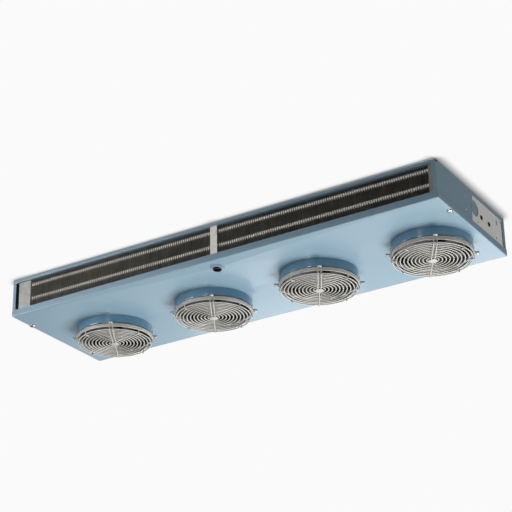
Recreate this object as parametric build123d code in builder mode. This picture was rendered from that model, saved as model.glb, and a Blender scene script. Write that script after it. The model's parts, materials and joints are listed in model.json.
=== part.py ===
from build123d import *
import math
import os

os.makedirs("parts", exist_ok=True)

# Flat unit cooler that hangs under a cold-room ceiling. The origin is at the centre of the
# face that meets the ceiling, +Z is up, +Y points to the rear and the air leaves at -Y.

# Casing
unit_length = 1420.0
unit_depth = 441.0
unit_height = 116.0
sheet = 1.2
bend = 1.8
rail_height = 9.0
rail_flange = 12.0
end_return = 11.0
end_flange = 22.0
rear_flange = 15.0
corner_wrap = 10.0
corner_gap = 2.5

# Fan pan, which also catches the defrost water
lip_height = 20.0
pan_bend = 3.0
lip_gap = 0.4
swing_gap = 1.0
seat_gap = 0.3
drain_cup_radius = 22.0
drain_cup_depth = 6.0
drain_cup_floor = 17.0
drain_hole_radius = 12.5
ferrule_bore = 10.5
ferrule_radius = 15.5
ferrule_flange = 1.5
ferrule_drop = 4.0
drain_setback = 39.0
catch_setback = 89.0
catch_inset = 9.5
catch_radius = 3.0
catch_hole = 4.2
catch_head = 9.0
catch_dome = 4.0
catch_shank = 9.0

# Fan row
fan_count = 4
first_fan_inset = 201.95
last_fan_inset = 141.95
fan_row_setback = 249.0
collar_radius = 114.2
collar_depth = 29.4
throat_radius = 103.0
throat_lip = 14.0
collar_flange = 3.6
collar_fit = 0.1

# Impeller and motor
blade_count = 5
blade_tip_gap = 4.5
blade_root = 24.5
blade_sheet = 1.6
blade_chord = 72.0
blade_rise = 24.0
blade_camber = 5.0
blade_sweep = 24.0
hub_radius = 26.0
hub_height = 22.0
hub_shell = 2.5
impeller_drop = 27.0
blade_below_hub = 2.0
shaft_radius = 4.0
shaft_fit = 0.05
motor_radius = 40.0
motor_height = 46.0
motor_lift = 18.0
motor_boss_radius = 12.0
motor_boss = 5.0
motor_shell = 3.0
motor_edge = 5.0
bracket_sheet = 2.0
bracket_ring = 46.0
bracket_arm = 14.0
bracket_reach = 121.0
bracket_foot = 16.0
bracket_opening = 30.0
bracket_turn = 45.0
foot_screw_circle = 129.0
stud_height = 8.0
nut_height = 3.2

# Wire guard
guard_depth = 52.5
guard_rings = 10
ring_sides = 24
guard_radius = 111.6
guard_pitch = 10.4
ring_wire = 2.6
spoke_wire = 3.0
spoke_pair = 9.0
weld = 0.5
side_rings = 3
side_ring_radius = 116.0
side_taper = 0.7
side_ring_pitch = 5.5
side_ring_top = 1.6
hub_plate = 15.0
eye_radius = 5.0
eye_hole = 2.3
eye_circle = 124.0
clip_width = 14.0
clip_leg = 18.0
screw_radius = 2.0
screw_head = 4.2
screw_dome = 2.4
screw_end = 2.0
eye_clearance = 0.4
guard_turn = 30.0
rib_inset = 1.1

# Coil
tube_radius = 4.76
tube_wall = 0.5
row_count = 6
row_pitch = 19.05
level_count = 4
level_pitch = 22.3
top_level = 21.0
first_row_setback = 18.0
fin_pitch = 7.0
fin_sheet = 0.35
fin_strip = 0.8
coil_left_inset = 63.0
coil_right_inset = 26.0
tube_sheet_setback = 6.0
left_flange = 43.0
right_flange = 13.0
post_left = 0.0
post_width = 23.0
post_setback = 2.4
tube_sheet_foot = 8.0
tube_hole_gap = 0.1
tube_stub = 1.5

# Refrigerant pipes in the left end
liquid_radius = 6.35
suction_radius = 7.94
header_radius = 8.0
pipe_wall = 1.0
header_top = 36.0
header_bottom = 96.0
header_outlet = 12.0
feeder_radius = 2.4
pipe_bend = 20.0
pipe_lane_inset = 26.0
pipe_stub = 18.0
socket_depth = 14.0
socket_fit = 0.1
socket_taper = 1.5
suction_exit = 60.0
suction_level = 60.0
liquid_exit = 110.0
liquid_level = 26.0
distributor_radius = 9.0
distributor_length = 16.0
distributor_setback = 63.5
feeder_spread = 5.0
feeder_bend = 10.0
feeder_cup = 6.0
distributor_edge = 1.5
grommet_wall = 3.0
grommet_lip = 2.5

# Hinges along the rear
hinge_inset = 190.0
hinge_width = 60.0
hinge_leaf = 1.5
hinge_reach = 17.0
knuckle_radius = 3.4
knuckle_out = 2.5
knuckle_lift = 3.5
knuckle_gap = 0.3
hinge_pin_radius = 1.6
hinge_pin_fit = 0.05
pin_head = 1.5
pin_head_radius = 2.6
rivet_radius = 3.0
rivet_head = 1.0

# Ceiling slots
slot_inset_x = 65.0
slot_inset_y = 55.5
slot_length = 24.0
slot_width = 11.0

# Electrical end
plate_sheet = 0.8
plate_front_top = 226.0
plate_front_low = 215.0
plate_rear = 420.0
plate_bottom = 21.0
plate_top = 102.0
plate_slot = (382.0, 82.0)
plate_slot_length = 17.0
plate_slot_width = 9.0
plate_screw_spots = ((372.0, 29.0), (252.0, 29.0), (410.0, 94.0))
plate_screw_radius = 1.6
plate_screw_head = 2.8
grommet_bore = 3.5
cable_grommet_lip = 1.5
grommet_rear_places = (277.0, 327.0)
grommet_level = 53.5
cable_hole = 5.5
knockout_setback = 236.0
knockout_level = 66.0
knockout_radius = 22.0
knockout_depth = 0.5
dimple_setbacks = (178.0, 184.0)
dimple_levels = (86.0, 46.0)
dimple_shift = 8.0
dimple_radius = 3.0
plate_notch = 24.0
box_length = 90.0
box_height = 70.0
box_depth = 44.0
box_wall = 1.5
box_foot = 8.0
cover_lap = 1.5
cover_skirt = 6.0

# Planes that the pieces share
half_length = unit_length / 2
front = -unit_depth / 2
rear = unit_depth / 2
pan_under = -unit_height
pan_floor = pan_under + sheet
lip_top = pan_under + lip_height
casing_half = half_length - sheet - lip_gap
casing_rear = rear - sheet - lip_gap
casing_low = pan_floor + seat_gap
behind_lip = front + sheet + swing_gap
fan_y = front + fan_row_setback
fan_pitch = (unit_length - first_fan_inset - last_fan_inset) / (fan_count - 1)
fan_xs = [-half_length + first_fan_inset + n * fan_pitch for n in range(fan_count)]
collar_low = pan_under - collar_depth
collar_curl = (collar_radius - throat_radius) / 2
motor_low = pan_under + motor_lift
row_ys = [front + first_row_setback + n * row_pitch for n in range(row_count)]
level_zs = [-top_level - n * level_pitch for n in range(level_count)]
fin_front = row_ys[0] - row_pitch / 2
fin_rear = row_ys[-1] + row_pitch / 2
fin_top = level_zs[0] + level_pitch / 2
fin_low = level_zs[-1] - level_pitch / 2
tube_places = [(y, level_zs[n]) for r, y in enumerate(row_ys) for n in range(r % 2, level_count, 2)]
coil_left = half_length - coil_left_inset
coil_right = half_length - coil_right_inset
pipe_lane = half_length - pipe_lane_inset
hinge_place = half_length - hinge_inset
hinge_y = rear + knuckle_out
hinge_z = lip_top + knuckle_lift
catch_x = half_length - catch_inset
catch_y = front + catch_setback
drain_y = front + drain_setback


def block(x0, x1, y0, y1, z0, z1):
    """A rectangular block between two corners, for use inside a part's own block."""
    with Locations(((x0 + x1) / 2, (y0 + y1) / 2, (z0 + z1) / 2)):
        Box(x1 - x0, y1 - y0, z1 - z0)


def save(part, name):
    """Labels a finished piece and writes it."""
    part.label = name
    export_step(part, f"parts/{name}.step")


# Top panel: a flat sheet with four slotted holes, folded down and back along the front
with BuildPart() as top_panel:
    with BuildSketch(Plane.YZ.offset(-casing_half)):
        with BuildLine():
            Polyline(
                (casing_rear, 0),
                (front, 0),
                (front, -rail_height),
                (front + rail_flange, -rail_height),
                (front + rail_flange, -rail_height + sheet),
                (front + sheet, -rail_height + sheet),
                (front + sheet, -sheet),
                (casing_rear, -sheet),
                close=True,
            )
        make_face()
    extrude(amount=2 * casing_half)
    front_folds = top_panel.edges().filter_by(Axis.X).filter_by_position(Axis.Y, front, front)
    fillet(front_folds, bend)
    with BuildSketch(Plane.XY):
        with GridLocations(unit_length - 2 * slot_inset_x, unit_depth - 2 * slot_inset_y, 2, 2):
            SlotOverall(slot_length, slot_width)
    extrude(amount=-sheet, mode=Mode.SUBTRACT)
save(top_panel.part, "top_panel")


# End panels: a side sheet with flanges folded in at the front, top and bottom
def folded_end(side):
    """The end panel without its holes; side is -1 at the left and 1 at the right."""
    side_rear = casing_rear - corner_wrap - corner_gap

    def span(depth):
        return sorted((side * casing_half, side * (casing_half - depth)))

    with BuildPart() as panel:
        block(*span(sheet), behind_lip, front + rail_flange, casing_low, -rail_height)
        block(*span(sheet), front + rail_flange, side_rear, casing_low, -sheet)
        block(*span(end_return), front, front + sheet, lip_top + lip_gap, -rail_height)
        block(*span(sheet), front, behind_lip, lip_top + lip_gap, -rail_height)
        block(*span(end_flange), front + rail_flange, side_rear, -2 * sheet, -sheet)
        block(*span(end_flange), behind_lip, side_rear, casing_low, casing_low + sheet)
        corner = panel.edges().filter_by(Axis.Z).sort_by(
            lambda edge: abs(edge.center().X - side * casing_half) + abs(edge.center().Y - front)
        )[0]
        fillet(corner, sheet * 0.9)
        with Locations((side * catch_x, catch_y, casing_low + sheet)):
            Hole(catch_hole, depth=sheet)
    return panel.part


left_shell, right_shell = folded_end(-1), folded_end(1)
with BuildPart() as left_end_panel:
    add(left_shell)
    with BuildSketch(Plane.YZ.offset(-casing_half)):
        with Locations((suction_exit, -suction_level)):
            Circle(suction_radius + grommet_wall)
        with Locations((liquid_exit, -liquid_level)):
            Circle(liquid_radius + grommet_wall)
    extrude(amount=sheet, mode=Mode.SUBTRACT)
save(left_end_panel.part, "left_end_panel")

cable_places = [(front + setback, pan_under + grommet_level) for setback in grommet_rear_places]
dimple_places = []
for setback, shift in zip(dimple_setbacks, (dimple_shift, -dimple_shift)):
    dimple_places += [(front + setback, pan_under + level + shift) for level in dimple_levels]
with BuildPart() as right_end_panel:
    add(right_shell)
    with BuildSketch(Plane.YZ.offset(casing_half)):
        with Locations(*cable_places):
            Circle(cable_hole)
    extrude(amount=-sheet, mode=Mode.SUBTRACT)
    with BuildSketch(Plane.YZ.offset(casing_half)):
        with Locations((front + knockout_setback, pan_under + knockout_level)):
            Circle(knockout_radius)
            Circle(knockout_radius - 2 * sheet, mode=Mode.SUBTRACT)
        with Locations(*dimple_places):
            Circle(dimple_radius)
    extrude(amount=-knockout_depth, mode=Mode.SUBTRACT)
save(right_end_panel.part, "right_end_panel")

# Rear panel: it wraps round both rear corners and turns in under the top panel
with BuildPart() as rear_panel:
    block(-casing_half, casing_half, casing_rear - sheet, casing_rear, casing_low, -sheet)
    for side in (-1, 1):
        wrap = sorted((side * casing_half, side * (casing_half - sheet)))
        block(*wrap, casing_rear - corner_wrap, casing_rear, casing_low, -sheet)
    block(
        -casing_half + end_flange + sheet,
        casing_half - end_flange - sheet,
        casing_rear - rear_flange,
        casing_rear,
        -2 * sheet,
        -sheet,
    )
    corners = rear_panel.edges().filter_by(Axis.Z).filter_by_position(Axis.Y, casing_rear, casing_rear)
    fillet(corners, sheet * 0.9)
save(rear_panel.part, "rear_panel")

# Fan pan: a shallow tray with four round fan holes and a drawn drain cup
with BuildPart() as fan_pan:
    with BuildSketch(Plane.XY.offset(pan_under)):
        RectangleRounded(unit_length, unit_depth, pan_bend)
    extrude(amount=lip_height)
    fillet(fan_pan.faces().sort_by(Axis.Z)[0].edges(), pan_bend - 0.1)
    with BuildSketch(Plane.XY.offset(lip_top)):
        RectangleRounded(unit_length - 2 * sheet, unit_depth - 2 * sheet, pan_bend - sheet)
    extrude(amount=pan_floor - lip_top, mode=Mode.SUBTRACT)
    with BuildSketch(Plane.XY.offset(pan_under)):
        with Locations(*[(x, fan_y) for x in fan_xs]):
            Circle(collar_radius + collar_fit)
        with Locations((0, drain_y)):
            Circle(drain_cup_radius)
        with Locations((-catch_x, catch_y), (catch_x, catch_y)):
            Circle(catch_radius + tube_hole_gap)
    extrude(amount=sheet, mode=Mode.SUBTRACT)
    with BuildSketch(Plane(origin=(0, drain_y, pan_floor), x_dir=(1, 0, 0), z_dir=(0, -1, 0))):
        with BuildLine():
            Polyline(
                (drain_cup_radius, 0),
                (drain_cup_radius, -sheet),
                (drain_cup_floor + sheet / 2, -sheet - drain_cup_depth),
                (drain_hole_radius, -sheet - drain_cup_depth),
                (drain_hole_radius, -drain_cup_depth),
                (drain_cup_floor, -drain_cup_depth),
                (drain_cup_radius - sheet, 0),
                close=True,
            )
        make_face()
    revolve(axis=Axis((0, drain_y, 0), (0, 0, 1)))
save(fan_pan.part, "fan_pan")

# Fan collar, built at the origin: a spun ring that hangs through the pan on a narrow flange and
# curls in at the bottom to the throat round the blades
collar_top = pan_floor + sheet
curl_level = collar_low + collar_curl
throat_top = curl_level + throat_lip - collar_curl
with BuildPart() as fan_collar:
    with BuildSketch(Plane.XZ):
        with BuildLine():
            Polyline(
                (collar_radius - sheet, curl_level),
                (collar_radius - sheet, collar_top),
                (collar_radius + collar_flange, collar_top),
                (collar_radius + collar_flange, pan_floor),
                (collar_radius, pan_floor),
                (collar_radius, curl_level),
            )
            RadiusArc((collar_radius, curl_level), (throat_radius, curl_level), collar_curl)
            Polyline(
                (throat_radius, curl_level),
                (throat_radius, throat_top),
                (throat_radius + sheet, throat_top),
                (throat_radius + sheet, curl_level),
            )
            RadiusArc(
                (collar_radius - sheet, curl_level), (throat_radius + sheet, curl_level), collar_curl - sheet
            )
        make_face()
    revolve(axis=Axis.Z)

# Drain ferrule: a flanged bush that sits in the drain cup
cup_floor = pan_floor - drain_cup_depth
with BuildPart() as drain_ferrule:
    with BuildSketch(Plane.XZ.offset(-drain_y)):
        with BuildLine():
            Polyline(
                (ferrule_bore, cup_floor + ferrule_flange),
                (ferrule_bore, cup_floor - ferrule_drop),
                (drain_hole_radius, cup_floor - ferrule_drop),
                (drain_hole_radius, cup_floor),
                (ferrule_radius, cup_floor),
                (ferrule_radius, cup_floor + ferrule_flange),
                close=True,
            )
        make_face()
    revolve(axis=Axis((0, drain_y, 0), (0, 0, 1)))
save(drain_ferrule.part, "drain_ferrule")

# Pan fasteners: domed screws that hold the front of the pan up to the end panels
with BuildPart() as fastener:
    with BuildSketch(Plane.XY.offset(pan_under)):
        Circle(catch_head)
    extrude(amount=-catch_dome)
    fillet(fastener.edges().sort_by(Axis.Z)[0], 0.9 * catch_dome)
    with BuildSketch(Plane.XY.offset(pan_under)):
        Circle(catch_radius)
    extrude(amount=catch_shank)
with BuildPart() as pan_fasteners:
    with Locations((-catch_x, catch_y), (catch_x, catch_y)):
        add(fastener.part)
save(pan_fasteners.part, "pan_fasteners")


# Tube sheets: plates across the coil, each with a front flange and a foot under the top panel
sheet_low = casing_low + sheet
end_sheet_front = front + tube_sheet_setback
def tube_sheet(x, flange_from, flange_to, plate_front, foot_side):
    """A tube sheet whose plate starts at x; its front flange is at the depth plate_front."""
    under_top = front + rail_flange + seat_gap
    plate_rear = fin_rear + row_pitch / 2
    with BuildPart() as plate:
        block(x, x + sheet, plate_front, plate_rear, sheet_low, -rail_height)
        block(x, x + sheet, under_top, plate_rear, -rail_height, -sheet)
        block(flange_from, flange_to, plate_front, plate_front + sheet, sheet_low, -rail_height)
        foot = sorted((x + sheet / 2, x + sheet / 2 + foot_side * tube_sheet_foot))
        block(*foot, under_top, plate_rear, -2 * sheet, -sheet)
        with BuildSketch(Plane.YZ.offset(x)):
            with Locations(*tube_places):
                Circle(tube_radius + tube_hole_gap)
        extrude(amount=sheet, mode=Mode.SUBTRACT)
    return plate.part


left_sheet_x, right_sheet_x = -coil_left, coil_right
left_flange_end = left_sheet_x - left_flange
left_tube_sheet = tube_sheet(left_sheet_x, left_flange_end, left_sheet_x, end_sheet_front, 1)
save(left_tube_sheet, "left_tube_sheet")
post_end = post_left + post_width
centre_tube_sheet = tube_sheet(post_left, post_left, post_end, front + post_setback, 1)
save(centre_tube_sheet, "centre_tube_sheet")
right_sheet_end = right_sheet_x + sheet
right_flange_end = right_sheet_end + right_flange
right_tube_sheet = tube_sheet(right_sheet_x, right_sheet_end, right_flange_end, end_sheet_front, -1)
save(right_tube_sheet, "right_tube_sheet")


# Fin packs: thin upright fins on a common top strip
def fin_pack(x0, x1):
    """A comb of fins between two tube sheets."""
    count = int((x1 - x0) // fin_pitch)
    with BuildPart() as pack:
        with BuildSketch(Plane.XZ.offset(-fin_rear)):
            with Locations(((x0 + x1) / 2, (fin_top + fin_low) / 2)):
                with GridLocations((x1 - x0 - fin_sheet) / count, 1, count + 1, 1):
                    Rectangle(fin_sheet, fin_top - fin_low)
            with Locations(((x0 + x1) / 2, fin_top - fin_strip / 2)):
                Rectangle(x1 - x0, fin_strip)
        extrude(amount=fin_rear - fin_front)
    return pack.part


fin_pack_left = fin_pack(left_sheet_x + sheet + seat_gap, post_left - seat_gap)
save(fin_pack_left, "fin_pack_left")
fin_pack_right = fin_pack(post_left + sheet + seat_gap, right_sheet_x - seat_gap)
save(fin_pack_right, "fin_pack_right")

# Coil tubes, staggered from row to row
tubes_left = left_sheet_x - tube_stub
tubes_right = right_sheet_end + tube_stub
with BuildPart() as coil_tubes:
    with BuildSketch(Plane.YZ.offset(tubes_left)):
        with Locations(*tube_places):
            Circle(tube_radius)
            Circle(tube_radius - tube_wall, mode=Mode.SUBTRACT)
    extrude(amount=tubes_right - tubes_left)
save(coil_tubes.part, "coil_tubes")


# Return bends join each row to the next, in turn at the right and at the left
def tube_bend(x, side, start, end):
    """Half a ring of tube from one tube end to another, bulging towards side."""
    middle = (x, (start[0] + end[0]) / 2, (start[1] + end[1]) / 2)
    across = Vector(0, end[0] - start[0], end[1] - start[1])
    plane = Plane(origin=middle, x_dir=across, z_dir=(side, 0, 0))
    with BuildPart() as tube:
        with BuildSketch(plane):
            with Locations((across.length / 2, 0)):
                Circle(tube_radius)
                Circle(tube_radius - tube_wall, mode=Mode.SUBTRACT)
        revolve(axis=Axis(plane.origin, plane.y_dir * -1), revolution_arc=180)
    return tube.part


bends = []
for row in range(row_count - 1):
    x, side = (tubes_right, 1) if row % 2 == 0 else (tubes_left, -1)
    for level in range(0, level_count, 2):
        even = (row_ys[row + row % 2], level_zs[level])
        odd = (row_ys[row + 1 - row % 2], level_zs[level + 1])
        bends.append(tube_bend(x, side, even, odd))
with BuildPart() as return_bends:
    for bend_part in bends:
        add(bend_part)
save(return_bends.part, "return_bends")

# Suction header: an upright pipe that gathers the last row
header_y = row_ys[-1]
header_levels = level_zs[1::2]
with BuildPart() as suction_header:
    for wall, mode in ((0, Mode.ADD), (1, Mode.SUBTRACT)):
        low, high = -header_bottom + wall * pipe_wall, -header_top - wall * pipe_wall
        with BuildSketch(Plane.XY.offset(low)):
            with Locations((-pipe_lane, header_y)):
                Circle(header_radius - wall * pipe_wall)
        extrude(amount=high - low, mode=mode)
        with BuildSketch(Plane.YZ.offset(-pipe_lane)):
            with Locations(*[(header_y, z) for z in header_levels]):
                Circle(tube_radius - wall * tube_wall)
        extrude(amount=pipe_lane + tubes_left, mode=mode)
        with BuildSketch(Plane.XZ.offset(-header_y)):
            with Locations((-pipe_lane, -suction_level)):
                Circle(suction_radius - wall * pipe_wall)
        extrude(amount=-header_outlet, mode=mode)
save(suction_header.part, "suction_header")


# Pipes that run to the rear and turn out through the left end
def end_pipe(radius, start_y, exit_y, z):
    """A pipe along the pipe lane that leaves through the left end panel and ends in a swaged socket."""
    stub_end = -half_length - pipe_stub
    socket_end = stub_end + socket_depth
    with BuildPart() as pipe:
        with BuildLine():
            corners = ((-pipe_lane, start_y, z), (-pipe_lane, exit_y, z), (socket_end, exit_y, z))
            FilletPolyline(*corners, radius=pipe_bend)
        with BuildSketch(Plane(origin=(-pipe_lane, start_y, z), x_dir=(1, 0, 0), z_dir=(0, 1, 0))):
            Circle(radius)
            Circle(radius - pipe_wall, mode=Mode.SUBTRACT)
        sweep()
        with BuildSketch(Plane(origin=(0, exit_y, z), x_dir=(1, 0, 0), z_dir=(0, -1, 0))):
            with BuildLine():
                Polyline(
                    (stub_end, radius + socket_fit),
                    (stub_end, radius + pipe_wall),
                    (socket_end - socket_taper, radius + pipe_wall),
                    (socket_end, radius),
                    (socket_end, radius - pipe_wall),
                    (socket_end - socket_taper, radius - pipe_wall),
                    (socket_end - socket_taper, radius + socket_fit),
                    close=True,
                )
            make_face()
        revolve(axis=Axis((0, exit_y, z), (1, 0, 0)))
    return pipe.part


save(end_pipe(suction_radius, header_y + header_outlet, suction_exit, -suction_level), "suction_line")
distributor_front = front + distributor_setback - distributor_length
distributor_rear = front + distributor_setback
save(end_pipe(liquid_radius, distributor_rear, liquid_exit, -liquid_level), "liquid_line")

# Distributor: a turned body that narrows towards the feeder tubes
with BuildPart() as distributor:
    with BuildSketch(Plane.XZ.offset(-distributor_rear)):
        with Locations((-pipe_lane, -liquid_level)):
            Circle(distributor_radius)
    extrude(amount=distributor_length)
    chamfer(distributor.edges().filter_by(GeomType.CIRCLE), distributor_edge)
save(distributor.part, "distributor")


# Feeder tubes: from the distributor to the first row, each ending in a soldered cup
def feeder(start_z, end_z):
    """A thin tube to the first-row tube at the level end_z."""
    first_y = row_ys[0]
    start = (-pipe_lane, distributor_front, start_z)
    corners = [(-pipe_lane, first_y, start_z)]
    if abs(start_z - end_z) > 2 * feeder_bend:
        corners.append((-pipe_lane, first_y, end_z))
    with BuildPart() as tube:
        with BuildLine():
            end = (tubes_left - feeder_cup / 2, first_y, end_z)
            FilletPolyline(start, *corners, end, radius=feeder_bend)
        with BuildSketch(Plane(origin=start, x_dir=(1, 0, 0), z_dir=(0, -1, 0))):
            Circle(feeder_radius)
        sweep()
        with BuildSketch(Plane.YZ.offset(tubes_left)):
            with Locations((first_y, end_z)):
                Circle(tube_radius)
        extrude(amount=-feeder_cup)
    return tube.part


upper_feeder = feeder(level_zs[0], level_zs[0])
lower_feeder = feeder(-liquid_level - feeder_spread, level_zs[2])
with BuildPart() as feeder_tubes:
    add(upper_feeder)
    add(lower_feeder)
save(feeder_tubes.part, "feeder_tubes")

# Grommets round the pipes in the left end panel
pipe_exits = [(suction_exit, -suction_level, suction_radius), (liquid_exit, -liquid_level, liquid_radius)]
with BuildPart() as pipe_grommets:
    for y, z, radius in pipe_exits:
        hole = radius + grommet_wall
        for x, outer, length in (
            (-casing_half - grommet_lip, hole + grommet_lip, grommet_lip),
            (-casing_half, hole, sheet),
            (-casing_half + sheet, hole + grommet_lip, grommet_lip),
        ):
            with BuildSketch(Plane.YZ.offset(x)):
                with Locations((y, z)):
                    Circle(outer)
                    Circle(radius, mode=Mode.SUBTRACT)
            extrude(amount=length)
save(pipe_grommets.part, "pipe_grommets")


# Hinges: the casing leaf stands up from the pin, the pan leaf hangs over the rear lip
hinge_thirds = [((n - 1.5) * hinge_width / 3, (n - 0.5) * hinge_width / 3) for n in range(3)]


def leaf(side, plate_y, knuckles, pin_bore):
    """One hinge leaf at x = 0; side is 1 for the leaf above the pin and -1 for the one below."""
    clear = knuckle_radius + knuckle_gap
    reach = sorted((hinge_z, hinge_z + side * hinge_reach))
    with BuildPart() as half:
        block(-hinge_width / 2, hinge_width / 2, plate_y, plate_y + hinge_leaf, *reach)
        for x0, x1 in hinge_thirds:
            if (x0, x1) in knuckles:
                with BuildSketch(Plane.YZ.offset(x0)):
                    with Locations((hinge_y, hinge_z)):
                        Circle(knuckle_radius)
                extrude(amount=x1 - x0)
        for x0, x1 in hinge_thirds:
            if (x0, x1) not in knuckles:
                with BuildSketch(Plane.YZ.offset(x0 - knuckle_gap)):
                    with Locations((hinge_y, hinge_z)):
                        Rectangle(2 * clear, 2 * clear)
                extrude(amount=x1 - x0 + 2 * knuckle_gap, mode=Mode.SUBTRACT)
        with BuildSketch(Plane.YZ.offset(-hinge_width / 2)):
            with Locations((hinge_y, hinge_z)):
                Circle(pin_bore)
        extrude(amount=hinge_width, mode=Mode.SUBTRACT)
        with BuildSketch(Plane.XZ.offset(-plate_y - hinge_leaf)):
            with GridLocations(0.6 * hinge_width, 1, 2, 1):
                with Locations((0, hinge_z + side * 0.68 * hinge_reach)):
                    Circle(rivet_radius)
        extrude(amount=-rivet_head)
    return half.part


casing_leaf = leaf(1, casing_rear, hinge_thirds[::2], hinge_pin_radius)
pan_leaf = leaf(-1, rear, hinge_thirds[1:2], hinge_pin_radius + hinge_pin_fit)
with BuildPart() as hinge_leaves_casing:
    for side in (-1, 1):
        add(casing_leaf.moved(Location((side * hinge_place, 0, 0))))
save(hinge_leaves_casing.part, "hinge_leaves_casing")
with BuildPart() as hinge_leaves_pan:
    for side in (-1, 1):
        add(pan_leaf.moved(Location((side * hinge_place, 0, 0))))
save(hinge_leaves_pan.part, "hinge_leaves_pan")

with BuildPart() as hinge_pins:
    for side in (-1, 1):
        for x, radius, length in (
            (-hinge_width / 2 - pin_head, pin_head_radius, pin_head),
            (-hinge_width / 2, hinge_pin_radius, hinge_width),
            (hinge_width / 2, pin_head_radius, pin_head),
        ):
            with BuildSketch(Plane.YZ.offset(side * hinge_place + x)):
                with Locations((hinge_y, hinge_z)):
                    Circle(radius)
            extrude(amount=length)
save(hinge_pins.part, "hinge_pins")

# Terminal box on the inner side of the right end panel, open towards the panel
box_x = casing_half - sheet - box_depth
box_y = (cable_places[0][0] + cable_places[1][0]) / 2
box_z = cable_places[0][1]
with BuildPart() as terminal_box:
    with BuildSketch(Plane.YZ.offset(box_x)):
        with Locations((box_y, box_z)):
            Rectangle(box_length, box_height)
            Rectangle(box_length - 2 * box_wall, box_height - 2 * box_wall, mode=Mode.SUBTRACT)
    extrude(amount=box_depth)
    with BuildSketch(Plane.YZ.offset(box_x + box_depth)):
        with Locations((box_y, box_z)):
            Rectangle(box_length + 2 * box_foot, box_height)
            Rectangle(box_length - 2 * box_wall, box_height - 2 * box_wall, mode=Mode.SUBTRACT)
    extrude(amount=-box_wall)
save(terminal_box.part, "terminal_box")

with BuildPart() as terminal_cover:
    with BuildSketch(Plane.YZ.offset(box_x)):
        with Locations((box_y, box_z)):
            Rectangle(box_length + 2 * cover_lap, box_height + 2 * cover_lap)
    extrude(amount=-box_wall)
    with BuildSketch(Plane.YZ.offset(box_x)):
        with Locations((box_y, box_z)):
            Rectangle(box_length + 2 * cover_lap, box_height + 2 * cover_lap)
            Rectangle(box_length, box_height, mode=Mode.SUBTRACT)
    extrude(amount=cover_skirt)
save(terminal_cover.part, "terminal_cover")

# Service plate: a blank plate on the right end, notched round the knock-out
plate_screw_places = [(front + setback, pan_under + z) for setback, z in plate_screw_spots]
with BuildPart() as service_plate:
    with BuildSketch(Plane.YZ.offset(casing_half)):
        with BuildLine():
            Polyline(
                (front + plate_front_low, pan_under + plate_bottom),
                (front + plate_rear, pan_under + plate_bottom),
                (front + plate_rear, pan_under + plate_top),
                (front + plate_front_top, pan_under + plate_top),
                close=True,
            )
        make_face()
        with Locations((front + knockout_setback, pan_under + knockout_level)):
            Circle(plate_notch, mode=Mode.SUBTRACT)
        with Locations(*cable_places):
            Circle(cable_hole, mode=Mode.SUBTRACT)
        with Locations((front + plate_slot[0], pan_under + plate_slot[1])):
            SlotOverall(plate_slot_length, plate_slot_width, rotation=90, mode=Mode.SUBTRACT)
        with Locations(*plate_screw_places):
            Circle(plate_screw_radius, mode=Mode.SUBTRACT)
    extrude(amount=plate_sheet)
save(service_plate.part, "service_plate")

with BuildPart() as plate_screws:
    for offset, radius, length in ((0, plate_screw_radius, plate_sheet), (plate_sheet, plate_screw_head, 1)):
        with BuildSketch(Plane.YZ.offset(casing_half + offset)):
            with Locations(*plate_screw_places):
                Circle(radius)
        extrude(amount=length)
save(plate_screws.part, "plate_screws")

with BuildPart() as cable_grommets:
    for x, outer, length in (
        (casing_half - sheet - cable_grommet_lip, cable_hole + cable_grommet_lip, cable_grommet_lip),
        (casing_half - sheet, cable_hole, sheet + plate_sheet),
        (casing_half + plate_sheet, cable_hole + cable_grommet_lip, cable_grommet_lip),
    ):
        with BuildSketch(Plane.YZ.offset(x)):
            with Locations(*cable_places):
                Circle(outer)
                Circle(grommet_bore, mode=Mode.SUBTRACT)
        extrude(amount=length)
save(cable_grommets.part, "cable_grommets")

# Impeller: a hub with cambered blades, built at the origin
hub_low = pan_under - impeller_drop + blade_below_hub
blade_tip = throat_radius - blade_tip_gap
blade_middle = hub_low + hub_height / 2
with BuildPart() as blade:
    with BuildSketch(Plane(origin=(blade_root, 0, blade_middle), x_dir=(0, 1, 0), z_dir=(1, 0, 0))):
        with BuildLine():
            half, lift = blade_chord / 2, blade_rise / 2
            lower = ThreePointArc((-half, -lift), (0, -blade_camber), (half, lift))
            upper = ThreePointArc(
                (-half, -lift + blade_sheet), (0, -blade_camber + blade_sheet), (half, lift + blade_sheet)
            )
            Line(lower @ 0, upper @ 0)
            Line(lower @ 1, upper @ 1)
        make_face()
    extrude(amount=blade_tip)
    with BuildSketch(Plane.XY.offset(blade_middle - blade_rise)):
        with BuildLine():
            lead_x = math.sqrt(blade_tip**2 - half**2)
            trail_x = math.sqrt(blade_tip**2 - blade_sweep**2)
            ThreePointArc((blade_root, blade_root * 0.5), (0.6 * blade_tip, 0.92 * half), (lead_x, half))
            ThreePointArc((lead_x, half), (blade_tip, 0), (trail_x, -blade_sweep))
            ThreePointArc(
                (trail_x, -blade_sweep),
                (0.6 * blade_tip, -0.95 * blade_sweep),
                (blade_root, -blade_root * 0.7),
            )
            Line((blade_root, -blade_root * 0.7), (blade_root, blade_root * 0.5))
        make_face()
    extrude(amount=2 * blade_rise, mode=Mode.INTERSECT)
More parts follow.
